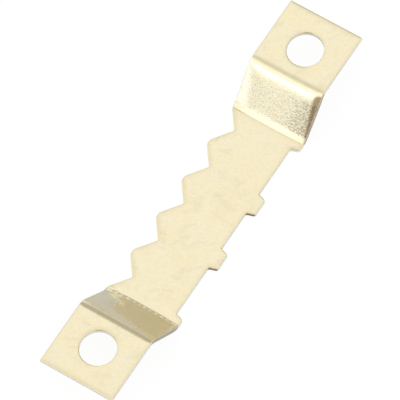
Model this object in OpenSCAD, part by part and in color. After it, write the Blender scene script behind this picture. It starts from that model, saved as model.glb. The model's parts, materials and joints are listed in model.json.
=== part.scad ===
// Sawtooth picture hanger: one strip of sheet metal, punched flat and bent twice at each end.
// It lies on its centre strip with the two end tabs raised, as it does on a bench.
// X runs along the strip, +Y is the toothed edge and +Z is the side that faces the picture frame.
// The origin is on the underside of the centre strip, in the middle of its length and width.

/* [Sheet] */
// Overall length, from end to end
hanger_l = 45; // [42:0.5:60]
// Width over the tabs, the tooth tips and the lugs
hanger_w = 8.2; // [7:0.1:12]
// Thickness of the sheet
sheet_t = 0.5; // [0.3:0.05:0.8]

/* [Tabs and bends] */
// Flat length of each end tab, up to its bend
tab_l = 7; // [6.5:0.1:8]
// Height of the tabs above the centre strip
rise = 4; // [3:0.1:5]
// Slope of the risers, in degrees
riser_angle = 47; // [40:1:60]
// Inside radius of every bend
bend_r = 0.5; // [0.2:0.05:0.9]

/* [Nail holes] */
// Diameter of the hole in each tab
hole_d = 3.7; // [2:0.1:4]
// Distance from the end of a tab to the middle of its hole
hole_end = 3.9; // [3:0.1:4.5]

/* [Toothed edge] */
// Distance from notch to notch
notch_pitch = 4.6; // [3:0.1:6]
// Depth of a notch, measured from the tooth tips
notch_depth = 1.5; // [1.1:0.05:2]
// Radius of the tooth tips
tip_r = 0.85; // [0.2:0.05:1.1]
// Radius at the bottom of each notch
notch_r = 0.15; // [0.05:0.05:0.4]

/* [Lug edge] */
// Depth of the relief cut along the edge opposite the teeth
relief_depth = 0.9; // [0.7:0.05:1.2]
// Length left at full width between the relief and each bend
relief_end = 0.7; // [0.4:0.1:2]
// Number of lugs that stand in the relief
lug_n = 2; // [1:1:2]
// Distance from lug to lug
lug_pitch = 6.8; // [4:0.1:9]
// Width of a lug
lug_w = 2.1; // [1:0.1:3]
// Radius of the corners and roots of the lugs
lug_r = 0.25; // [0.1:0.05:0.3]

/* [Hidden] */
$fn = 96;
past = 1; // how far a cutting shape runs past what it cuts

// From one bend's centre to the other's, square to the riser
bend_gap = 2 * bend_r + sheet_t;
// Straight part of a riser, between its two bends
riser_l = (rise - bend_gap * (1 - cos(riser_angle))) / sin(riser_angle);
// Length along X that a riser takes up, with its bends
riser_run = riser_l * cos(riser_angle) + bend_gap * sin(riser_angle);
// Flat half of the centre strip
centre_half = hanger_l / 2 - tab_l - riser_run;
// Centres of the two bends of one end, and the way the underside of its riser faces, in side view
lower_bend = [centre_half, sheet_t + bend_r];
upper_bend = [hanger_l / 2 - tab_l, rise - bend_r];
riser_normal = [sin(riser_angle), -cos(riser_angle)];

// The teeth may run into the lower bends but not up the risers; a notch stands at mid-length
tooth_room = 2 * (centre_half + bend_gap / 2 * sin(riser_angle));
notch_n = 2 * floor((tooth_room / notch_pitch - 1) / 2) + 1;
half_pitch = notch_pitch / 2;
// Slope of a flank that runs from the round at a notch's bottom to the round of the tooth beside it
rounding = tip_r + notch_r;
flank_drop = notch_depth - rounding;
flank_angle = atan2(flank_drop, half_pitch) + asin(rounding / norm([half_pitch, flank_drop]));
// Ends of the right-hand flank, from the middle of the notch and from the line of the tips
flank_top = [half_pitch - tip_r * sin(flank_angle), -tip_r * (1 - cos(flank_angle))];
flank_foot = [notch_r * sin(flank_angle), notch_r * (1 - cos(flank_angle)) - notch_depth];

relief_half = centre_half - relief_end;

function notch_x(i) = (i - (notch_n - 1) / 2) * notch_pitch;
function lug_x(i) = (i - (lug_n - 1) / 2) * lug_pitch;
function flip(p) = [-p.x, p.y];

// Side view of all that lies below one face of a half strip: face 0 is the underside, sheet_t the top.
// A disc hollows out the lower bend, and what stands outside a disc is taken off the upper bend.
module below(face, margin) {
    lower_r = bend_r + sheet_t - face;
    upper_r = bend_r + face;
    corner = [upper_bend.x - upper_r * tan(riser_angle / 2), rise + face];
    end = hanger_l / 2 + margin;
    difference() {
        polygon([
            [-margin, -margin],
            [-margin, face],
            [centre_half, face],
            lower_bend + lower_r * riser_normal,
            corner,
            [end, rise + face],
            [end, -margin]
        ]);
        translate(lower_bend) circle(lower_r);
        translate(upper_bend) difference() {
            polygon([[0, 0], [0, 2 * upper_r], -2 * upper_r * riser_normal]);
            circle(upper_r);
        }
    }
}

// Side view of one half: centre strip, lower bend, riser, upper bend and tab
module half_profile() {
    difference() {
        below(sheet_t, past);
        below(0, 2 * past);
    }
}

module side_profile() {
    half_profile();
    mirror([1, 0]) half_profile();
}

// Everything that is punched away above the teeth, with the tips on y = 0
module tooth_cut() {
    end = notch_n * half_pitch;
    flanks = [
        for (i = [0 : notch_n - 1])
            for (p = [flip(flank_top), flip(flank_foot), flank_foot, flank_top])
                [notch_x(i), 0] + p
    ];
    difference() {
        union() {
            polygon(concat([[-end, past], [-end, 0]], flanks, [[end, 0], [end, past]]));
            for (i = [0 : notch_n - 1])
                translate([notch_x(i), notch_r - notch_depth]) circle(notch_r);
        }
        for (i = [0 : notch_n])
            translate([notch_x(i) - half_pitch, -tip_r]) circle(tip_r);
    }
}

// One pocket of the relief: rounded roots inside, rounded corners at its mouth on y = 0
module pocket(from, to) {
    w = to - from;
    translate([from, 0]) {
        translate([0, -past]) square([w, past + relief_depth - lug_r]);
        translate([lug_r, -past]) square([w - 2 * lug_r, past + relief_depth]);
        for (x = [lug_r, w - lug_r])
            translate([x, relief_depth - lug_r]) circle(lug_r);
        difference() {
            translate([-lug_r, -past]) square([w + 2 * lug_r, past + lug_r]);
            for (x = [-lug_r, w + lug_r])
                translate([x, lug_r]) circle(lug_r);
        }
    }
}

// The relief along the edge opposite the teeth: pockets that leave the lugs standing
module relief_cut() {
    for (i = [0 : lug_n]) {
        from = i == 0 ? -relief_half : lug_x(i - 1) + lug_w / 2;
        to = i == lug_n ? relief_half : lug_x(i) - lug_w / 2;
        pocket(from, to);
    }
}

module plan_outline() {
    difference() {
        square([hanger_l, hanger_w], center = true);
        translate([0, hanger_w / 2]) tooth_cut();
        translate([0, -hanger_w / 2]) relief_cut();
    }
}

// The bent strip: its side view carried across the width, cut to the plan outline and pierced
module hanger_strip() {
    color([0.93, 0.87, 0.69]) difference() {
        intersection() {
            rotate([90, 0, 0])
                linear_extrude(hanger_w + 2 * past, center = true) side_profile();
            translate([0, 0, -past])
                linear_extrude(rise + sheet_t + 2 * past) plan_outline();
        }
        for (side = [-1, 1])
            translate([side * (hanger_l / 2 - hole_end), 0, rise - past])
                cylinder(h = sheet_t + 2 * past, d = hole_d);
    }
}

hanger_strip();
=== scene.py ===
"""Dresses a sawtooth picture hanger: one strip of brass-plated sheet, punched, pierced, and bent twice at
each end.

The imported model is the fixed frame. Lengths are in metres, X runs along the strip, +Y is the toothed edge
and +Z is the side that the picture frame is nailed to.
"""

import json
import math

import bpy
import numpy as np
from bpy.props import FloatProperty, FloatVectorProperty, IntProperty, PointerProperty
from mathutils import Matrix, Vector


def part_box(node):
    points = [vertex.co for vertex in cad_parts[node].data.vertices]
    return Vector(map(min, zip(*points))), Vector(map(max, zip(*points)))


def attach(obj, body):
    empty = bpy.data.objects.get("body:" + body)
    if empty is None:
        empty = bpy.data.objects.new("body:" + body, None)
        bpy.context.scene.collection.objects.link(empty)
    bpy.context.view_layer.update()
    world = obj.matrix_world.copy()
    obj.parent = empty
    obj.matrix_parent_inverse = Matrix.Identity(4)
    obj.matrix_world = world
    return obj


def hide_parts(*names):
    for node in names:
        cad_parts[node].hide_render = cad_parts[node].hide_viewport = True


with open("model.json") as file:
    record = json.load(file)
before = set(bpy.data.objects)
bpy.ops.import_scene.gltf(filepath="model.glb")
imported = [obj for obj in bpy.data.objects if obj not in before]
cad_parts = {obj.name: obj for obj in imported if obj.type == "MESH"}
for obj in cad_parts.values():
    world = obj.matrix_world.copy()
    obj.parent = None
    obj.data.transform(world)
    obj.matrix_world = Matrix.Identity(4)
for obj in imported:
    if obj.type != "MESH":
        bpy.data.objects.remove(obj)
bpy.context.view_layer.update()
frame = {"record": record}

bl_info = {
    "name": "Sawtooth picture hanger",
    "version": (1, 0, 0),
    "blender": (4, 5, 0),
    "location": "3D View > Sidebar > Hanger",
    "description": "Builds a stamped and bent picture hanger over its packed frame, with its studio",
    "category": "Object",
}

MM = 0.001
NODE = "hanger_strip"
NODE_LOW, NODE_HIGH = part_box(NODE)
NAIL_HOLE = next(m for m in frame["record"]["mounts"] if m["name"] == "nail_hole_right")
SHEET = NAIL_HOLE["dims"]["length_mm"] * MM
# Width of the picture and of the camera's sensor
IMAGE_PX = 400
SENSOR_MM = 36.0
# The grain of the two faces, the tear, the scuffs and the bead draw from this seed and the next four
SEED = 11


def length(name, default, description):
    """Sidebar value for a length, in metres."""
    return FloatProperty(
        name=name, description=description, default=default, unit="LENGTH", subtype="DISTANCE"
    )


def share(name, default, description):
    """Sidebar value for a part of a whole, from 0 to 1."""
    return FloatProperty(
        name=name, description=description, default=default, min=0.0, max=1.0, subtype="FACTOR"
    )


def angle(name, default, description):
    """Sidebar value for an angle, whose default is given in degrees."""
    return FloatProperty(
        name=name, description=description, default=math.radians(default), subtype="ANGLE"
    )


def colour(name, default, description):
    """Sidebar value for the colour of a surface."""
    return FloatVectorProperty(
        name=name, description=description, default=default, min=0.0, max=1.0, subtype="COLOR"
    )


def level(name, default, description):
    """Sidebar value for a plain number of 0 or more."""
    return FloatProperty(name=name, description=description, default=default, min=0.0)


def light(name, default, description):
    """Sidebar value for the colour of a light, which may be brighter than white."""
    return FloatVectorProperty(
        name=name, description=description, default=default, min=0.0, subtype="COLOR"
    )


class HangerSizes(bpy.types.PropertyGroup):
    """Sizes of the strip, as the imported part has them."""

    length: length("Length", NODE_HIGH.x - NODE_LOW.x, "Overall length, from end to end")
    width: length("Width", NODE_HIGH.y - NODE_LOW.y, "Width over the tabs, the tooth tips and the lugs")
    sheet: length("Sheet", SHEET, "Thickness of the sheet")
    rise: length("Rise", NODE_HIGH.z - NODE_LOW.z - SHEET, "Height of the tabs above the centre strip")
    tab: length("Tab", 7.0 * MM, "Flat length of each end tab, up to its bend")
    riser_angle: angle("Riser angle", 47.0, "Slope of the risers")
    bend_radius: length("Bend radius", 0.5 * MM, "Inside radius of every bend")
    hole_radius: length("Hole radius", NAIL_HOLE["dims"]["r_mm"] * MM, "Radius of the nail holes")
    hole_x: length("Hole place", NAIL_HOLE["pos_m"][0], "Distance of a nail hole from mid-length")
    notch_count: IntProperty(
        name="Notches", description="Number of notches, one of them at mid-length", default=5
    )
    notch_pitch: length("Notch pitch", 4.6 * MM, "Distance from notch to notch")
    notch_depth: length("Notch depth", 1.5 * MM, "Depth of a notch, from the tooth tips")
    tip_radius: length("Tip radius", 0.85 * MM, "Radius of the tooth tips")
    notch_radius: length("Notch radius", 0.15 * MM, "Radius at the bottom of each notch")
    relief_depth: length("Relief depth", 0.9 * MM, "Depth of the relief along the edge opposite the teeth")
    relief_end: length("Relief end", 0.7 * MM, "Length left at full width between the relief and each bend")
    lug_pitch: length("Lug pitch", 6.8 * MM, "Distance between the two lugs")
    lug_width: length("Lug width", 2.1 * MM, "Width of a lug at half its height")


class HangerForming(bpy.types.PropertyGroup):
    """What the punch and the press leave on the strip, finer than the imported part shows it."""

    foot_length: length("Foot bend", 1.1 * MM, "Length of the curve above the crease at a riser's foot")
    crease_length: length("Crease length", 0.3 * MM, "Length of sheet over which that crease turns")
    crease: share("Crease", 0.6, "Part of the foot's bend that the crease makes")
    foot_sweep: share("Foot sweep", 0.1, "Part of the foot's bend that its gentle sweep makes")
    top_length: length("Top bend", 1.8 * MM, "Length of sheet over which the bend at a riser's top turns")
    quickness: level("Bend quickness", 1.6, "Power by which both bends slow down on the riser")
    worked_length: length("Worked length", 0.8 * MM, "Length over which the marks of working fade out")
    sweep_length: length("Sweep length", 3.0 * MM, "Length of the gentle sweep into and out of each bend")
    sweep: share("Sweep", 0.26, "Part of the top's bend that its gentle sweep makes")
    lug_blend: length("Lug blend", 0.12 * MM, "Softness of the sides of the lugs")
    corner: length("Edge round", 0.06 * MM, "Radius of the upper edge")
    burr: length("Lower edge round", 0.02 * MM, "Radius of the lower edge")
    roll_width: length("Roll-over width", 0.7 * MM, "Width of the roll-over along the punched edges")
    roll_depth: length("Roll-over depth", 0.03 * MM, "Depth of that roll-over")
    teeth_roll: length("Toothed roll-over", 0.06 * MM, "How much deeper the roll-over is along the teeth")
    teeth_foot: length("Toothed margin, foot", 1.75 * MM, "Margin on a riser's toothed side, at its foot")
    teeth_top: length("Toothed margin, top", 0.5 * MM, "Width of that margin at the top of the riser")
    teeth_slope: angle("Toothed margin slope", 9.5, "How far that margin slopes down")
    lugs_foot: length("Lug margin, foot", 0.0, "Margin on a riser's lug side, at its foot")
    lugs_top: length("Lug margin, top", 0.65 * MM, "Width of that margin at the top of the riser")
    lugs_slope: angle("Lug margin slope", 18.0, "How far that margin slopes down")
    teeth_blend: length("Toothed margin blend", 0.35 * MM, "Softness of the toothed margin's inner side")
    lugs_blend: length("Lug margin blend", 0.08 * MM, "Softness of the lug margin's inner side")
    crown: angle("Crown", 3.5, "How far a riser leans over along its lug side")
    bead_place: length("Bead place", 0.28 * MM, "Distance of the coined bead from the crease")
    bead_width: length("Bead width", 0.1 * MM, "Half width of that bead")
    bead_height: length("Bead height", 0.085 * MM, "Height of that bead")
    bead_pitch: length("Bead pitch", 0.66 * MM, "Distance from dash to dash of that bead")
    tear: length("Tear", 0.005 * MM, "How far the torn lower part of a sheared edge falls back")
    grain_length: length("Grain length", 0.5 * MM, "Shortest wave of the orange-peel grain")
    grain_height: length("Grain height", 0.0006 * MM, "Height of the orange-peel grain on the risers")


class HangerFinish(bpy.types.PropertyGroup):
    """Colours and polish of the plating."""

    plate: colour("Plate", (0.952, 0.866, 0.622), "Brass plate")
    warm: colour("Warm plate", (0.962, 0.852, 0.582), "Warmer patches of the plate")
    pooled: colour("Pooled lacquer", (0.90, 0.77, 0.46), "Yellower lacquer along the edges")
    mottle: colour("Mottle", (0.952, 0.952, 0.952), "Darkening of the plate in its fine mottling")
    smudge: colour("Smudge", (0.82, 0.75, 0.52), "Dull smudges and scuffs on the plate")
    pit: colour("Pit", (0.50, 0.43, 0.30), "Pits in the plating of the right riser")
    bare: colour("Bare edge", (1.0, 0.97, 0.87), "Thin plating on the sheared edges")
    # Painted shade: a dark colour on the walls beside the lugs and along the risers' lug side, standing in
    # for the shade that falls in those pockets
    painted_shade: colour("Painted shade", (0.30, 0.22, 0.13), "Dark lacquer on the sides of the lugs and of the risers")
    polish: share("Polish", 0.13, "Roughness of the clean plate")
    haze: share("Haze", 0.22, "Roughness of the dull smudges and scuffs")
    pressed: share("Pressed foot", 0.32, "Roughness of the parts of the risers that the press dulled")
    sheared: share("Sheared edge", 0.6, "Roughness of the sheared edges")
    edge_metal: share("Edge metal", 0.05, "How metallic the sheared edges look")
    peel: length("Peel", 0.012 * MM, "Height of the fine grain in the plate")


class HangerStudio(bpy.types.PropertyGroup):
    """Camera, floor and surroundings."""

    azimuth: angle("Azimuth", -48.721, "Direction of the camera round the hanger")
    elevation: angle("Elevation", 63.768, "Height of the camera above the horizon")
    roll: angle("Roll", -9.602, "Turn of the camera about its own axis")
    distance: length("Distance", 644.829 * MM, "From the camera to the hanger")
    focal_px: level("Focal length", 6637.11, "Focal length in pixels of a 400-pixel frame")
    aim_right: length("Aim right", -0.582 * MM, "How far the camera aims to the right of the origin")
    aim_up: length("Aim up", 1.693 * MM, "How far the camera aims above the origin")
    floor: colour("Floor", (0.65, 0.67, 0.70), "Floor, as it lights the hanger")
    seen_floor: colour("Seen floor", (0.10, 0.10, 0.10), "Floor where it is seen, before its white lift")
    lift: level("White lift", 0.92, "Light added to the floor where it is seen, so that it shows white")
    mirror_share: share("Mirror share", 0.03, "Part of that lift that mirror rays see")
    dim: light("Dim side", (0.42, 0.36, 0.30), "Surroundings on the -X side")
    cool: light("Cool side", (0.68, 0.73, 0.87), "Surroundings on the +X side")
    side: light("Side", (0.93, 0.92, 0.90), "Pale wall beyond the teeth, on the +X side")
    ceiling: light("Ceiling", (0.75, 0.75, 0.69), "Ceiling between the panel overhead and the key")
    fill: light("Fill", (0.90, 0.94, 0.985), "Soft fill low on the -X side")
    overhead: light("Overhead", (1.0, 1.0, 1.0), "Panel overhead, on the +X side")
    key: light("Key", (1.15, 1.15, 1.15), "Large panel on the -X side")
    glint: light("Glint", (1.85, 1.85, 1.9), "Small bright light at the foot of that panel")
    rim: light("Rim", (1.4, 1.5, 1.75), "Low light on the -X side, beyond the teeth")
    front: light("Front", (1.15, 1.15, 1.15), "Low light in front, on the lug side")
    shade: light("Shade", (0.50, 0.48, 0.43), "Darker patch on the +X side, below the panel overhead")
    low: light("Low wall", (0.55, 0.54, 0.47), "Foot of the wall on the +X side")
    window: light("Window", (1.1, 1.1, 1.1), "Small low window on the +X side")
    lamp: light("Lamp", (1.3, 1.3, 1.3), "Lamp beyond the teeth")


# Shape of the blank and of its side view


def ease(q):
    """0 up to q = -0.5, 1 from q = 0.5 on, and a smooth cubic between."""
    t = np.clip(q + 0.5, 0, 1)
    return t * t * (3 - 2 * t)


def corners(sizes):
    """Places along X where the middle lines of the strip, the riser and the tab would meet, and the
    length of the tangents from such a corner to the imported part's bend."""
    tangent = (sizes.bend_radius + sizes.sheet / 2) * math.tan(sizes.riser_angle / 2)
    second = sizes.length / 2 - sizes.tab - tangent
    return second - sizes.rise / math.tan(sizes.riser_angle), second, tangent


class Side:
    """Side view of the bent sheet, by arc length from mid-length."""

    # Samples of the whole middle line, and steps on each half of a bend
    SAMPLES = 20001
    BEND_STEPS = 4000

    def __init__(self, sizes, forming):
        """The strip, the riser and the tab run on the lines between the corners, and the two bends take
        their legs from these lines. The middle line is the running sum of the cosine and the sine of
        its slope."""
        self.angle, self.forming = sizes.riser_angle, forming
        first, second, _ = corners(sizes)
        before_foot, after_foot = self.legs(self.foot_turn)
        before_top, after_top = self.legs(self.top_turn)
        self.lower = first - before_foot
        self.upper = self.lower + sizes.rise / math.sin(self.angle) - after_foot - before_top
        self.end = self.upper + sizes.length / 2 - second - after_top
        self.arc = np.linspace(0, self.end, self.SAMPLES)
        slope = self.tilt((self.arc[1:] + self.arc[:-1]) / 2)
        self.x = np.concatenate([[0], np.cumsum(np.cos(slope))]) * self.arc[1]
        self.z = np.concatenate([[0], np.cumsum(np.sin(slope))]) * self.arc[1] + sizes.sheet / 2

    def legs(self, turn):
        """How much longer the straight legs from a bend's two ends to its corner are than the sheet in
        the bend before and after q = 0. The bend climbs away from its first line until it lies on the
        second, so its climb gives its leg on the second line, and its run that on the first."""
        reach = self.forming.sweep_length / 2
        q = reach * (np.arange(-self.BEND_STEPS, self.BEND_STEPS) + 0.5) / self.BEND_STEPS
        turned = self.angle * turn(q)
        after = 2 * reach * np.sin(turned).mean() / math.sin(self.angle)
        before = 2 * reach * np.cos(turned).mean() - after * math.cos(self.angle)
        return before - reach, after - reach

    def foot_turn(self, q):
        """Part of the foot's bend that is turned at distance q past its crease: a gentle sweep on both
        sides, the sharp crease, and a curve up the riser that follows a power of the way left."""
        forming = self.forming
        sweep = forming.foot_sweep * ease(q / forming.sweep_length)
        crease = forming.crease * ease(q / forming.crease_length)
        curve = 1 - (1 - np.clip(q / forming.foot_length, 0, 1)) ** forming.quickness
        return sweep + crease + (1 - forming.foot_sweep - forming.crease) * curve

    def top_turn(self, q):
        """Part of the top's bend that is turned at distance q past its middle: a gentle sweep, and a
        bend that starts slowly on the riser, because it follows a power of the way."""
        forming = self.forming
        way = np.clip(q / forming.top_length + 0.5 ** (1 / forming.quickness), 0, 1)
        bend = ease(way**forming.quickness - 0.5)
        return (1 - forming.sweep) * bend + forming.sweep * ease(q / forming.sweep_length)

    def tilt(self, a):
        """Slope at distance a from mid-length: up over the lower bend and back over the upper one."""
        return self.angle * (self.foot_turn(a - self.lower) - self.top_turn(a - self.upper))

    def worked(self, u):
        """1 on the risers and their bends, where the sheet was worked, and 0 on the flats."""
        a, reach = np.abs(u), self.forming.worked_length
        return ease((a - self.lower) / reach) - ease((a - self.upper - reach / 2) / reach)

    def place(self, u, y, n):
        """Point of the bent sheet: u along it, y across it and n above its middle, square to it."""
        a = np.abs(u)
        x = np.sign(u) * np.interp(a, self.arc, self.x)
        z = np.interp(a, self.arc, self.z)
        slope = np.sign(u) * self.tilt(a)
        return np.stack([x - n * np.sin(slope), y + 0 * x, z + n * np.cos(slope)], axis=-1)


def toothed_edge(sizes, u):
    """Toothed edge of the blank. With q the distance from the nearest notch, the cut is a small arc at the
    bottom of the notch, a straight flank that touches both arcs, and a larger arc over the tooth."""
    half, depth = sizes.notch_pitch / 2, sizes.notch_depth
    small, large = sizes.notch_radius, sizes.tip_radius
    rounding = large + small
    drop = depth - rounding
    slope = math.atan2(drop, half) + math.asin(rounding / math.hypot(half, drop))
    foot, top = small * math.sin(slope), half - large * math.sin(slope)
    q = np.abs(u - sizes.notch_pitch * np.round(u / sizes.notch_pitch))
    bottom = depth - small + np.sqrt(small**2 - np.minimum(q, foot) ** 2)
    flank = depth - small * (1 - math.cos(slope)) - (q - foot) * math.tan(slope)
    tip = large - np.sqrt(large**2 - np.minimum(half - q, large) ** 2)
    cut = np.select([q < foot, q < top], [bottom, flank], tip)
    return sizes.width / 2 - np.where(np.abs(u) < sizes.notch_count * half, cut, 0)


def relief_half(sizes):
    """Half length of the relief along the edge opposite the teeth."""
    first, _, tangent = corners(sizes)
    return first - tangent - sizes.relief_end


def lug_edge(sizes, blend, u):
    """Edge opposite the teeth: the relief is the product of soft steps, up at its ends and down at each
    lug."""

    def inside(q):
        return 0.5 * (1 + np.tanh(q / blend))

    lugs = inside(sizes.lug_width / 2 - np.abs(np.abs(u) - sizes.lug_pitch / 2))
    return sizes.relief_depth * inside(relief_half(sizes) - np.abs(u)) * (1 - lugs) - sizes.width / 2


def spread(low, high, count, density, samples=8001):
    """Stations from low to high whose spacing is in proportion to 1 / density."""
    fine = np.linspace(low, high, samples)
    weight = density(fine)
    total = np.concatenate([[0], np.cumsum((weight[1:] + weight[:-1]) / 2)])
    return np.interp(np.linspace(0, total[-1], count), total, fine)


def both_ends(f, extra, fade):
    """Density over 0 to 1 that is higher by extra at both ends and falls off exponentially."""
    return 1 + extra * np.exp(-f / fade) + extra * np.exp(-(1 - f) / fade)


def gather(q, width):
    """1 near q = 0, falling off over the width."""
    return np.exp(-((q / width) ** 2))


def waves(u, y, shortest, longest, count, seed):
    """Smooth random field of unit height: a sum of plane waves with seeded directions, lengths and
    phases."""
    rng = np.random.default_rng(seed)
    heading = rng.uniform(0, 2 * np.pi, count)
    number = 2 * np.pi / rng.uniform(shortest, longest, count)
    phase = rng.uniform(0, 2 * np.pi, count)
    total = np.zeros(np.shape(u))
    for h, k, p in zip(heading, number, phase):
        total += np.cos(k * (u * np.cos(h) + y * np.sin(h)) + p)
    return total * math.sqrt(2 / count)


# Mean and spread of a scuff's heading in radians, and the limits of its half length, width and strength
SCUFF_HEADING = (-1.05, 0.35)
SCUFF_REACH_MM = (0.1, 0.6)
SCUFF_WIDTH_MM = (0.07, 0.13)
SCUFF_STRENGTH = (0.15, 0.7)


def scuffs(u, y, half_length, half_width, count, seed):
    """Short faint strokes: at each point the strongest of the seeded strokes, whose profile is a bell
    round a straight segment."""
    rng = np.random.default_rng(seed)
    total = np.zeros(np.shape(u))
    for _ in range(count):
        at_u = rng.uniform(-half_length, half_length)
        at_y = rng.uniform(-half_width, half_width)
        heading = rng.normal(*SCUFF_HEADING)
        reach = rng.uniform(*SCUFF_REACH_MM) * MM
        width = rng.uniform(*SCUFF_WIDTH_MM) * MM
        strength = rng.uniform(*SCUFF_STRENGTH)
        along = (u - at_u) * math.cos(heading) + (y - at_y) * math.sin(heading)
        across = (y - at_y) * math.cos(heading) - (u - at_u) * math.sin(heading)
        away = np.hypot(np.maximum(np.abs(along) - reach, 0), across)
        total = np.maximum(total, strength * gather(away, width))
    return total


def segment_distance(u, y, path, block_size=500):
    """Distance of each point from a closed path of straight segments, in blocks of points."""
    side = np.roll(path, -1, axis=0) - path
    size = np.maximum((side**2).sum(axis=1), np.finfo(float).tiny)

    def distance(points):
        offset = points[:, None, :] - path[None]
        t = np.clip((offset * side).sum(axis=2) / size, 0, 1)
        return np.sqrt(((offset - t[..., None] * side) ** 2).sum(axis=2).min(axis=1))

    points = np.stack([u.ravel(), y.ravel()], axis=1)
    blocks = np.array_split(points, 1 + len(points) // block_size)
    return np.concatenate([distance(block) for block in blocks]).reshape(u.shape)


def grid_edge(grid, k):
    """Path along one edge of a grid, its first column or its last, as (u, y) pairs."""
    u, y = grid
    return np.stack([u[:, k], y[:, k]], axis=1)


class Blank:
    """The punched blank as grids over (u, y), its outline, and the forms and values on its faces."""

    # Stations across the strip, along it between the tabs and along a tab, and rings round a nail hole
    ROWS = 66
    COLUMNS = 440
    SIDE = 46
    RINGS = 20
    # Where the rings begin, past the middle of the bend at a riser's top
    TAB_START = 0.6 * MM
    # How much closer the stations are, and within what distance or what part of the width
    LUG_SIDES = (4, 0.16 * MM)
    NOTCH_BOTTOMS = (1.2, 0.2 * MM)
    STRIP_EDGES = (12, 0.012)
    RING_EDGES = (8, 0.03)
    TAB_END = (10, 0.1 * MM)
    BEAD_CLOSER = 6
    RISER_CLOSER = 0.5
    # How far past a riser's foot the distance from the edge is still taken from the outline
    OUTLINE_REACH = 1.0 * MM
    # Width across the strip over which the roll-over grows deeper towards the teeth
    TEETH_REACH = 2 * MM
    # Part of the grain's height that is left on the flats, and the number of waves in it
    FLAT_GRAIN = 0.2
    GRAIN_WAVES = 60
    # Wander of the bead's dashes in radians, the waves it is made of, and the dashes' bias and sharpness
    DASH_WANDER = 0.8
    DASH_WAVES = (1.5 * MM, 4.0 * MM, 12)
    DASH_BIAS = 0.3
    DASH_SHARPNESS = 3
    # Distance of the pits from a riser's foot, from its top and from mid-width, each with its blend;
    # how much the last one grows up the riser; and how dense the pits are on the toothed side
    PIT_FOOT = (0.7 * MM, 0.5 * MM)
    PIT_TOP = (1.1 * MM, 0.8 * MM)
    PIT_SIDE = (1.7 * MM, 4.4 * MM)
    PIT_SIDE_CLIMB = 1.2 * MM
    PIT_LEAST = 0.42
    # Place and half width of the dull band that the press left at the foot of the right riser
    PRESSED_PLACE = 0.3 * MM
    PRESSED_WIDTH = 0.55 * MM
    # On the left riser: part of the lug margin's slope, part of the strain, and its dullness
    LEFT_MARGIN = 0.25
    LEFT_STRAIN = 0.2
    LEFT_DULL = 0.22
    # How far the roll-over counts as an edge, and the number of scuffs on the whole strip
    ROLL_EDGE = 0.5
    SCUFFS = 70

    def __init__(self, sizes, forming):
        self.sizes, self.forming = sizes, forming
        self.side = Side(sizes, forming)
        self.tab = self.side.upper + self.TAB_START
        self.end = self.side.end
        self.hole = self.end - (sizes.length / 2 - sizes.hole_x)
        self.middle = self.middle_grid()
        self.tabs = [self.tab_grid(1), self.tab_grid(-1)]
        self.outline = self.outline_path()

    def columns(self, u):
        """Density of the columns: closer on the bends and risers, at the bead, at the notch bottoms and
        at the sides of the lugs."""
        sizes, a = self.sizes, np.abs(u)
        notch = u - sizes.notch_pitch * np.round(u / sizes.notch_pitch)
        lug, half = sizes.lug_pitch / 2, sizes.lug_width / 2
        extra, width = self.LUG_SIDES
        close = extra * sum(gather(a - q, width) for q in (lug - half, lug + half, relief_half(sizes)))
        bead = a - self.side.lower - self.forming.bead_place
        close += self.BEAD_CLOSER * gather(bead, 2 * self.forming.bead_width)
        extra, width = self.NOTCH_BOTTOMS
        close += extra * gather(notch, width) * (a < self.side.lower)
        return 1 + self.RISER_CLOSER * self.side.worked(u) + close

    def middle_grid(self):
        """Everything between the tabs: each column runs from the lug edge to the toothed edge. The places
        of its rows at full width are kept for the tabs."""
        u = spread(-self.tab, self.tab, self.COLUMNS, self.columns)
        u = (u - u[::-1]) / 2
        f = spread(0, 1, self.ROWS, lambda q: both_ends(q, *self.STRIP_EDGES))
        f = (f + 1 - f[::-1]) / 2
        low, high = lug_edge(self.sizes, self.forming.lug_blend, u), toothed_edge(self.sizes, u)
        self.row_places = (f - 0.5) * self.sizes.width
        return np.broadcast_to(u[:, None], (len(u), len(f))), low[:, None] + f * (high - low)[:, None]

    def tab_grid(self, side):
        """One tab: rings that change from the tab's rectangle to the circle of its nail hole."""
        half, radius = self.sizes.width / 2, self.sizes.hole_radius
        extra, fade = self.TAB_END
        long = spread(self.tab, self.end, self.SIDE, lambda q: 1 + extra * np.exp(-(self.end - q) / fade))
        rows = self.row_places
        u = np.concatenate([long[:-1], 0 * rows[:-1] + self.end, long[:0:-1], 0 * rows[:-1] + self.tab])
        y = np.concatenate([0 * long[:-1] - half, rows[:-1], 0 * long[:0:-1] + half, rows[:0:-1]])
        turn = np.arctan2(y, u - self.hole)
        f = spread(0, 1, self.RINGS, lambda q: both_ends(q, *self.RING_EDGES))
        ring_u = u[:, None] * (1 - f) + (self.hole + radius * np.cos(turn))[:, None] * f
        ring_y = y[:, None] * (1 - f) + (radius * np.sin(turn))[:, None] * f
        return side * ring_u, ring_y

    def outline_path(self):
        """Closed outline, anticlockwise: lug edge, right tab, toothed edge, left tab. A tab gives the
        stations of its free sides, without the first one, which the strip between the tabs has, and
        without the last one on the toothed side, where the wall spans two steps of the face."""
        round_tab = slice(1, 2 * self.SIDE + self.ROWS - 4)
        right, left = (grid_edge(tab, 0)[round_tab] for tab in self.tabs)
        lugs, teeth = grid_edge(self.middle, 0), grid_edge(self.middle, -1)
        return np.concatenate([lugs, right, teeth[::-1], left[::-1]])

    def edge_distance(self, u, y):
        """Distance from the nearest edge: the outline between the tabs, or the sides, end and hole of a
        tab."""
        a = np.abs(u)
        rim = np.hypot(a - self.hole, y) - self.sizes.hole_radius
        sides = np.minimum(self.sizes.width / 2 - np.abs(y), self.end - a)
        found = np.minimum(sides, np.maximum(rim, 0))
        near = a < self.side.lower + self.OUTLINE_REACH
        found[near] = segment_distance(u[near], y[near], self.outline)
        return found

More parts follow.
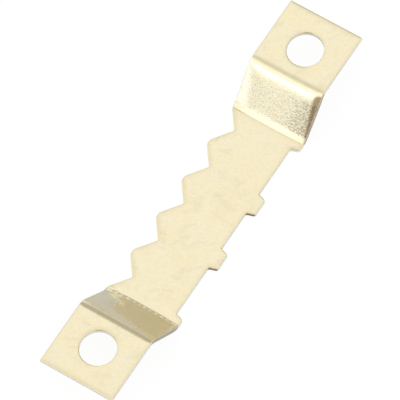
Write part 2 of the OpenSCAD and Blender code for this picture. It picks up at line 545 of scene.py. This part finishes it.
    def climb(self, u):
        """Part of the way up a riser, from 0 at its foot to 1 at its top."""
        return np.clip((np.abs(u) - self.side.lower) / (self.side.upper - self.side.lower), 0, 1)

    def margins(self, u, y):
        """How far the sides of a riser slope down: in a margin along each side, whose width changes
        from the riser's foot to its top, the drop grows in proportion to the distance past the margin's
        soft inner side. The lug half also leans over, by the cube of the distance from the middle."""
        forming, half, up = self.forming, self.sizes.width / 2, self.climb(u)

        def drop(inside, foot, top, slope, blend):
            past = foot + (top - foot) * up - inside
            return math.tan(slope) * blend * np.logaddexp(0, past / blend)

        teeth = drop(
            half - y, forming.teeth_foot, forming.teeth_top, forming.teeth_slope, forming.teeth_blend
        )
        lugs = drop(half + y, forming.lugs_foot, forming.lugs_top, forming.lugs_slope, forming.lugs_blend)
        lugs *= np.where(u > 0, 1, self.LEFT_MARGIN)
        lean = math.tan(forming.crown) * half / 3 * np.maximum(0, -y / half) ** 3
        return (self.side.tilt(np.abs(u)) / self.side.angle) ** 2 * (teeth + lugs + lean)

    def bead(self, u, y):
        """Broken bead that the worn die coins along the foot of the left riser: a bell across, dashes
        along."""
        forming = self.forming
        wander = self.DASH_WANDER * waves(0 * u, y, *self.DASH_WAVES, SEED + 4)
        swing = np.sin(2 * np.pi * y / forming.bead_pitch + wander)
        dashes = 0.5 + 0.5 * np.tanh(self.DASH_BIAS + self.DASH_SHARPNESS * swing)
        across = gather(u + self.side.lower + forming.bead_place, forming.bead_width)
        return forming.bead_height * dashes * across

    def faces_of_sheet(self, u, y):
        """Heights of the upper and the lower face above the middle of the sheet, and the distance from
        the edge. The upper face falls over a gentle roll and a small round at its edges, the lower one
        over a small round. On the risers both faces slope down in the margins and carry the grain, and
        the upper one has the coined bead."""
        forming, half = self.forming, self.sizes.sheet / 2
        d, worked = self.edge_distance(u, y), self.side.worked(u)

        def rounded(radius):
            q = radius - np.minimum(d, radius)
            return radius - np.sqrt(np.maximum(radius**2 - q**2, 0))

        toothed = ease(y / self.TEETH_REACH) * (np.abs(u) < self.side.lower + forming.worked_length)
        deep = forming.roll_depth + forming.teeth_roll * toothed
        roll = deep * np.maximum(0, 1 - d / forming.roll_width) ** 2 * (1 - worked)
        drop = self.margins(u, y)
        grain = forming.grain_height * (self.FLAT_GRAIN + (1 - self.FLAT_GRAIN) * worked)
        grain *= np.minimum(1, d / forming.roll_width)
        made_of = (forming.grain_length, 2 * forming.grain_length, self.GRAIN_WAVES)
        peel, under = (grain * waves(u, y, *made_of, seed) for seed in (SEED, SEED + 1))
        upper = half - roll - rounded(forming.corner) - drop + peel + self.bead(u, y)
        return upper, rounded(forming.burr) - half - drop + under, d

    def pits(self, u, y):
        """How closely the plating is pitted: only on the face of the right riser, and more towards its
        lug side and its foot."""

        def past(distance, place, blend):
            return ease((distance - place) / blend)

        a = np.abs(u)
        face = past(a - self.side.lower, *self.PIT_FOOT) * past(self.side.upper - a, *self.PIT_TOP)
        lugs = past(-y - self.PIT_SIDE_CLIMB * self.climb(u), *self.PIT_SIDE)
        return np.where(u > 0, face, 0) * (self.PIT_LEAST + (1 - self.PIT_LEAST) * lugs)

    def face_values(self, u, y, d):
        """Values that the plating reads on both faces: the strain of the risers, the dullness that the
        press left on them, the pits, the nearness of the edge, by the square of the way over the roll,
        and the scuffs."""
        worked = self.side.worked(u)
        pressed = gather(np.abs(u) - self.side.lower - self.PRESSED_PLACE, self.PRESSED_WIDTH)
        return {
            "strain": worked * np.where(u > 0, 1, self.LEFT_STRAIN),
            "foot": np.where(u > 0, pressed, self.LEFT_DULL * worked),
            "pits": self.pits(u, y),
            "edge": self.ROLL_EDGE * np.clip(1 - d / self.forming.roll_width, 0, 1) ** 2,
            "scuff": scuffs(u, y, self.end, self.sizes.width / 2, self.SCUFFS, SEED + 3),
        }


def quads(rows, columns, wrap=False):
    """Corner numbers of the faces of a grid, row by row; wrap joins the last row to the first."""
    i, j = np.meshgrid(np.arange(rows if wrap else rows - 1), np.arange(columns - 1), indexing="ij")
    here = i * columns + j
    ahead = (i + 1) % rows * columns + j
    return np.stack([here, ahead, ahead + 1, here + 1], axis=-1).reshape(-1, 4)


# Profile of a sheared wall from the upper face to the lower one, as the way down and the part of the
# tear's depth; the limits of that depth along the wall; and how much painted shade the wall of a riser gets
WALL_DOWN = np.array([0, 0.12, 0.3, 0.5, 0.62, 0.8, 0.94, 1])
WALL_BACK = np.array([0, 0, 0, 0, 0.6, 1, 0.8, 0])
TEAR_SPREAD = (0.5, 1.5)
RISER_PAINTED_SHADE = 0.5


def sheared_wall(blank, path, inward):
    """Sheared edge along a closed path: straight down from the upper face, then torn back a little,
    then out to the lower face. It runs on the outline of the blank, or on the rim of a hole. The second
    array is painted shade on it, on the lug side only: a darkening on the sides of the lugs, where the wall
    faces along the strip, and on the risers, standing in for the shade that falls there."""
    u, y = path.T
    upper, lower, _ = blank.faces_of_sheet(u, y)
    ahead = np.roll(path, -1, axis=0) - np.roll(path, 1, axis=0)
    out = np.stack([ahead[:, 1], -ahead[:, 0]], axis=1) / np.linalg.norm(ahead, axis=1, keepdims=True)
    out *= -1 if inward else 1
    ragged = np.random.default_rng(SEED + 2).uniform(*TEAR_SPREAD, len(path))
    shift = -blank.forming.tear * WALL_BACK * ragged[:, None]
    n = upper[:, None] + (lower - upper)[:, None] * WALL_DOWN
    wall = blank.side.place(u[:, None] + out[:, :1] * shift, y[:, None] + out[:, 1:] * shift, n)
    inside = np.abs(u) < relief_half(blank.sizes) - blank.sizes.relief_end
    # Painted shade: walls facing along the strip beside the lugs, and the risers' walls, darkened where
    # shade falls, on the lug side only
    painted_shade = np.where(inside, np.abs(out[:, 0]), RISER_PAINTED_SHADE * blank.side.worked(u))
    return wall, np.where(y < 0, painted_shade, 0)[:, None]


# Names of the surface values, and the decimals of a metre to which corners that are joined agree
VALUES = ("strain", "foot", "pits", "edge", "scuff", "painted_shade")
MERGE_DECIMALS = 8


def strip_arrays(sizes, forming):
    """Corners, faces and surface values of the whole strip: two faces of the sheet, the sheared wall
    round the outline and the one in each hole, joined at the corners that they share."""
    blank = Blank(sizes, forming)
    points, faces, values = [], [], {name: [] for name in VALUES}
    count = 0

    def add(grid, cells, flip, found):
        nonlocal count
        points.append(grid.reshape(-1, 3))
        faces.append((cells[:, ::-1] if flip else cells) + count)
        for name, kept in values.items():
            kept.append(np.broadcast_to(found.get(name, 0.0), grid.shape[:2]).ravel())
        count += points[-1].shape[0]

    right, left = blank.tabs
    for (u, y), wrap, mirrored in [(blank.middle, False, False), (right, True, False), (left, True, True)]:
        upper, lower, d = blank.faces_of_sheet(u, y)
        cells, found = quads(*u.shape, wrap=wrap), blank.face_values(u, y, d)
        add(blank.side.place(u, y, upper), cells, mirrored, found)
        add(blank.side.place(u, y, lower), cells, not mirrored, found)
    walls = [(blank.outline, False, True)]
    for tab, mirrored in [(right, False), (left, True)]:
        walls.append((grid_edge(tab, -1), not mirrored, mirrored))
    for path, inward, flip in walls:
        wall, painted_shade = sheared_wall(blank, path, inward)
        found = {"strain": blank.side.worked(path[:, :1]), "edge": 1.0, "painted_shade": painted_shade}
        add(wall, quads(*wall.shape[:2], wrap=True), flip, found)
    points, faces = np.concatenate(points), np.concatenate(faces)
    places = np.round(points, MERGE_DECIMALS)
    _, first, joined = np.unique(places, axis=0, return_index=True, return_inverse=True)
    values = {name: np.concatenate(kept)[first].astype(np.float32) for name, kept in values.items()}
    return points[first], joined.ravel()[faces], values


# Shader nodes


def node(tree, kind, place_at, **inputs):
    """New node at a place in the tree, with its named inputs set."""
    made = tree.nodes.new(kind)
    made.location = place_at
    for key, value in inputs.items():
        made.inputs[key.replace("_", " ")].default_value = value
    return made


def give(tree, socket, value):
    """Feeds an input from another node's socket, or sets it to a number or an opaque colour."""
    if isinstance(value, bpy.types.NodeSocket):
        tree.links.new(value, socket)
    else:
        socket.default_value = value if isinstance(value, (int, float)) else (*value, 1.0)


def maths(tree, operation, place_at, *values):
    """Socket with the result of one operation on numbers or sockets."""
    made = node(tree, "ShaderNodeMath", place_at)
    made.operation = operation
    for socket, value in zip(made.inputs, values):
        give(tree, socket, value)
    return made.outputs[0]


def ramp(tree, value, low, high, place_at, top=1.0):
    """Socket that rises smoothly from 0 at low to top at high."""
    made = node(tree, "ShaderNodeMapRange", place_at, From_Min=low, From_Max=high, To_Max=top)
    made.interpolation_type = "SMOOTHSTEP"
    tree.links.new(value, made.inputs["Value"])
    return made.outputs["Result"]


def between(tree, factor, a, b, place_at):
    """Socket that goes from a to b as the factor goes from 0 to 1, each a number or a socket."""
    made = node(tree, "ShaderNodeMix", place_at)
    for k, value in ((0, factor), (2, a), (3, b)):
        give(tree, made.inputs[k], value)
    return made.outputs[0]


def mix(tree, factor, a, b, place_at, blend="MIX"):
    """Colour socket that goes from a to b, or to a darkened by b, each a colour or a socket."""
    made = node(tree, "ShaderNodeMix", place_at)
    made.data_type = "RGBA"
    made.blend_type = blend
    for k, value in ((0, factor), (6, a), (7, b)):
        give(tree, made.inputs[k], value)
    return made.outputs[2]


# Noise in the plate: waves per metre, detail and roughness
NOISES = {
    "cloud": (500.0, 2.0, 0.5),
    "dull": (700.0, 3.0, 0.55),
    "mottle": (3300.0, 3.0, 0.75),
    "pits": (6500.0, 2.0, 0.6),
    "peel": (7500.0, 2.0, 0.6),
}
# Masks made from that noise and from the strip's own values: where each begins, where it ends and how
# far it rises
MASKS = {
    "cloud": (0.3, 0.72, 1.0),
    "dull": (0.5, 0.8, 0.6),
    "mottle": (0.36, 0.68, 1.0),
    "deep": (0.58, 0.78, 1.0),
    "pitted": (0.0, 0.8, 0.9),
    "pool": (0.02, 0.5, 0.4),
    "worn": (0.55, 0.95, 1.0),
    # Painted shade on the walls of the lug side
    "painted_shade": (0.15, 0.7, 1.0),
}
# How much the pits' own value adds to their noise, and the strength of the peel on the flats
PIT_GAIN = 0.22
FLAT_PEEL = 0.1


def plate_material(finish):
    """Satin brass plate: cloudy and finely mottled colour, dull smudges and scuffs, yellower lacquer along
    the edges, pits, thin dull plating on the sheared edges, painted shade on the walls of the lug side,
    and a peel that is stronger where the sheet was bent. Each is a layer over the ones before it, as far as
    its mask says."""
    material = bpy.data.materials.new("brass_plate")
    material.use_nodes = True
    tree = material.node_tree
    tree.nodes.clear()
    link = tree.links.new
    out = node(tree, "ShaderNodeOutputMaterial", (1200, 0))
    metal = node(tree, "ShaderNodeBsdfPrincipled", (900, 0))
    link(metal.outputs["BSDF"], out.inputs["Surface"])
    where = node(tree, "ShaderNodeTexCoord", (-1400, 0)).outputs["Object"]

    def attribute(name, at):
        made = node(tree, "ShaderNodeAttribute", at)
        made.attribute_name = name
        return made.outputs["Fac"]

    def noise(name, at):
        scale, detail, rough = NOISES[name]
        made = node(tree, "ShaderNodeTexNoise", at, Scale=scale, Detail=detail, Roughness=rough)
        link(where, made.inputs["Vector"])
        return made.outputs["Fac"]

    def mask(name, value, at):
        low, high, top = MASKS[name]
        return ramp(tree, value, low, high, at, top)

    cloud = mask("cloud", noise("cloud", (-1100, 300)), (-900, 300))
    dull = mask("dull", noise("dull", (-1100, 0)), (-900, 0))
    mottle = mask("mottle", noise("mottle", (-1100, 500)), (-900, 500))
    scuff = attribute("scuff", (-1400, -600))
    foot = attribute("foot", (-1400, 200))
    edge = attribute("edge", (-1400, -400))
    pool = mask("pool", edge, (-900, -250))
    worn = mask("worn", edge, (-900, -400))
    painted_shade = mask("painted_shade", attribute("painted_shade", (-1400, 600)), (-900, 600))
    pits = attribute("pits", (-1400, 800))
    ground = maths(tree, "MULTIPLY_ADD", (-1000, 800), pits, PIT_GAIN, noise("pits", (-1200, 900)))
    deep = mask("deep", ground, (-800, 800))
    pitted = mask("pitted", pits, (-800, 1000))
    speck = maths(tree, "MULTIPLY", (-600, 800), deep, pitted)

    tint = finish.plate
    layers = [
        (cloud, finish.warm, "MIX"),
        (mottle, finish.mottle, "MULTIPLY"),
        (dull, finish.smudge, "MIX"),
        (scuff, finish.smudge, "MIX"),
        (pool, finish.pooled, "MIX"),
        (speck, finish.pit, "MIX"),
        (worn, finish.bare, "MIX"),
        # Painted shade: dark colour on the lug-side walls, where shade falls
        (painted_shade, finish.painted_shade, "MIX"),
    ]
    for k, (factor, paint, blend) in enumerate(layers):
        tint = mix(tree, factor, tint, paint, (-500 + 150 * k, 300), blend)
    link(tint, metal.inputs["Base Color"])

    rough = finish.polish
    layers = [(dull, finish.haze), (scuff, finish.haze), (foot, finish.pressed), (worn, finish.sheared)]
    for k, (factor, target) in enumerate(layers):
        rough = between(tree, factor, rough, target, (-500 + 150 * k, 0))
    link(rough, metal.inputs["Roughness"])
    link(between(tree, worn, 1.0, finish.edge_metal, (-100, -200)), metal.inputs["Metallic"])

    bump = node(tree, "ShaderNodeBump", (500, -400), Distance=finish.peel)
    link(noise("peel", (-1100, -800)), bump.inputs["Height"])
    strain = attribute("strain", (-1400, -800))
    link(between(tree, strain, FLAT_PEEL, 1.0, (-500, -700)), bump.inputs["Strength"])
    link(bump.outputs["Normal"], metal.inputs["Normal"])
    return material


# Operators


class HANGER_OT_strip(bpy.types.Operator):
    """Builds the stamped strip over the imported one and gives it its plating"""

    bl_idname = "hanger.strip"
    bl_label = "Stamped strip"

    def execute(self, context):
        points, faces, values = strip_arrays(context.scene.hanger_sizes, context.scene.hanger_forming)
        mesh = bpy.data.meshes.new("stamped_strip")
        mesh.from_pydata(points, [], faces)
        for name, found in values.items():
            mesh.attributes.new(name, "FLOAT", "POINT").data.foreach_set("value", found)
        mesh.polygons.foreach_set("use_smooth", np.ones(len(faces), bool))
        if mesh.validate():
            raise RuntimeError("the strip's mesh has faulty faces")
        mesh.materials.append(plate_material(context.scene.hanger_finish))
        strip = bpy.data.objects.new("stamped_strip", mesh)
        context.scene.collection.objects.link(strip)
        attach(strip, "root")
        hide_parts(NODE)
        return {"FINISHED"}


def seen_white(tree, share_of_mirrors, at):
    """Socket that is 1 for camera and transmission rays and share_of_mirrors for glossy rays."""
    path = node(tree, "ShaderNodeLightPath", at)
    seen = maths(tree, "MULTIPLY", (at[0] + 200, at[1]), path.outputs["Is Glossy Ray"], share_of_mirrors)
    for k, name in enumerate(("Is Camera Ray", "Is Transmission Ray")):
        seen = maths(tree, "MAXIMUM", (at[0] + 400 + 200 * k, at[1]), seen, path.outputs[name])
    return seen


class HANGER_OT_stage(bpy.types.Operator):
    """Makes the camera, the pale floor and the softly lit surroundings"""

    bl_idname = "hanger.stage"
    bl_label = "Studio"

    # Length of the floor's sides, and how far it lies below the strip
    FLOOR_SIZE = 3.0
    FLOOR_DROP = 0.02 * MM
    # Nearest and furthest distance that the camera sees
    CLIP = (0.05, 20.0)
    # Zones of light, the later over the earlier: azimuth from +X, elevation, and the angles from the
    # middle at which the zone is still full and at which it is gone, in degrees
    ZONES = {
        "ceiling": (80, 74, 20, 40),
        "side": (60, 47, 16, 26),
        "fill": (159, 17, 3, 25),
        "overhead": (31, 57, 8, 24),
        "key": (154, 48, 18, 24),
        "glint": (160, 32, 8, 12.5),
        "rim": (137, 7, 9, 19),
        "front": (-90, 25, 35, 62),
        "shade": (17, 40, 11, 21.5),
        "low": (15, 7, 8, 13),
        "window": (32, 7, 12, 13.5),
        "lamp": (105, 25, 14, 24),
    }

    def execute(self, context):
        scene, studio = context.scene, context.scene.hanger_studio
        self.camera(scene, studio)
        self.floor(scene, studio)
        self.world(scene, studio)
        scene.view_settings.view_transform = "Standard"
        return {"FINISHED"}

    def camera(self, scene, studio):
        """Camera that looks at the origin from azimuth and elevation, turned by roll, then moved
        sideways and up."""
        az, el = studio.azimuth, studio.elevation
        back = Vector((math.sin(az) * math.cos(el), -math.cos(az) * math.cos(el), math.sin(el)))
        level_right = Vector((math.cos(az), math.sin(az), 0))
        level_up = back.cross(level_right)
        right = math.cos(studio.roll) * level_right + math.sin(studio.roll) * level_up
        up = math.cos(studio.roll) * level_up - math.sin(studio.roll) * level_right
        lens = bpy.data.cameras.new("camera")
        lens.sensor_width = SENSOR_MM
        lens.lens = studio.focal_px * SENSOR_MM / IMAGE_PX
        lens.clip_start, lens.clip_end = self.CLIP
        camera = bpy.data.objects.new("camera", lens)
        turn = Matrix((right, up, back)).transposed().to_4x4()
        place_at = back * studio.distance + right * studio.aim_right + up * studio.aim_up
        camera.matrix_world = Matrix.Translation(place_at) @ turn
        scene.collection.objects.link(camera)
        scene.camera = camera

    def floor(self, scene, studio):
        """Matte floor with a white lift where it is seen, so that only a pale shadow is left on it."""
        half = self.FLOOR_SIZE / 2
        rim = [(-half, -half), (half, -half), (half, half), (-half, half)]
        mesh = bpy.data.meshes.new("floor")
        mesh.from_pydata([(x, y, -self.FLOOR_DROP) for x, y in rim], [], [(0, 1, 2, 3)])
        material = bpy.data.materials.new("pale_floor")
        material.use_nodes = True
        tree = material.node_tree
        tree.nodes.clear()
        link = tree.links.new
        seen = seen_white(tree, studio.mirror_share, (-1000, -200))
        matte = node(tree, "ShaderNodeBsdfDiffuse", (0, 0))
        link(mix(tree, seen, studio.floor, studio.seen_floor, (-200, 0)), matte.inputs["Color"])
        lift = node(tree, "ShaderNodeEmission", (0, -200), Color=(1, 1, 1, 1))
        link(maths(tree, "MULTIPLY", (-200, -200), seen, studio.lift), lift.inputs["Strength"])
        both = node(tree, "ShaderNodeAddShader", (200, 0))
        link(matte.outputs[0], both.inputs[0])
        link(lift.outputs[0], both.inputs[1])
        out = node(tree, "ShaderNodeOutputMaterial", (400, 0))
        link(both.outputs[0], out.inputs["Surface"])
        mesh.materials.append(material)
        floor = bpy.data.objects.new("floor", mesh)
        scene.collection.objects.link(floor)

    def world(self, scene, studio):
        """Surroundings by direction: a room that is dimmer on the -X side, with soft round zones of
        light in it. A zone's strength rises smoothly with the cosine of the angle from its middle."""
        world = bpy.data.worlds.new("surroundings")
        world.use_nodes = True
        tree = world.node_tree
        tree.nodes.clear()
        link = tree.links.new
        toward = node(tree, "ShaderNodeTexCoord", (-1400, 0)).outputs["Generated"]
        split = node(tree, "ShaderNodeSeparateXYZ", (-1200, 0))
        link(toward, split.inputs[0])
        side = ramp(tree, split.outputs["X"], -1.0, 1.0, (-1000, 0))
        tint = mix(tree, side, studio.dim, studio.cool, (-800, 0))
        for k, (name, degrees) in enumerate(self.ZONES.items()):
            az, el, full, gone = (math.radians(value) for value in degrees)
            facing = node(tree, "ShaderNodeVectorMath", (-1000, -200 - 200 * k))
            facing.operation = "DOT_PRODUCT"
            facing.inputs[1].default_value = (
                math.cos(az) * math.cos(el), math.sin(az) * math.cos(el), math.sin(el)
            )
            link(toward, facing.inputs[0])
            near = facing.outputs["Value"]
            zone = ramp(tree, near, math.cos(gone), math.cos(full), (-800, -200 - 200 * k))
            tint = mix(tree, zone, tint, getattr(studio, name), (-600 + 200 * k, 0))
        shine = node(tree, "ShaderNodeBackground", (2000, 0))
        link(tint, shine.inputs["Color"])
        out = node(tree, "ShaderNodeOutputWorld", (2200, 0))
        link(shine.outputs[0], out.inputs["Surface"])
        scene.world = world


class HANGER_PT_build(bpy.types.Panel):
    """Lists the pieces of the hanger and their sizes, finish and studio"""

    bl_idname = "HANGER_PT_build"
    bl_label = "Picture hanger"
    bl_space_type = "VIEW_3D"
    bl_region_type = "UI"
    bl_category = "Hanger"

    def draw(self, context):
        layout = self.layout
        layout.operator(HANGER_OT_stage.bl_idname)
        layout.operator(HANGER_OT_strip.bl_idname)
        for name in GROUPS:
            group = getattr(context.scene, name)
            column = layout.column(align=True)
            for value in group.__annotations__:
                column.prop(group, value)


GROUPS = {
    "hanger_sizes": HangerSizes,
    "hanger_forming": HangerForming,
    "hanger_finish": HangerFinish,
    "hanger_studio": HangerStudio,
}
CLASSES = (*GROUPS.values(), HANGER_OT_stage, HANGER_OT_strip, HANGER_PT_build)


def register():
    """Registers the classes and gives every scene the groups of values."""
    for made in CLASSES:
        bpy.utils.register_class(made)
    for name, group in GROUPS.items():
        setattr(bpy.types.Scene, name, PointerProperty(type=group))


def unregister():
    """Takes the groups of values and the classes away again."""
    for name in GROUPS:
        delattr(bpy.types.Scene, name)
    for made in reversed(CLASSES):
        bpy.utils.unregister_class(made)


def main():
    """Builds the studio and the strip."""
    register()
    bpy.ops.hanger.stage()
    bpy.ops.hanger.strip()


if __name__ == "__main__":
    main()
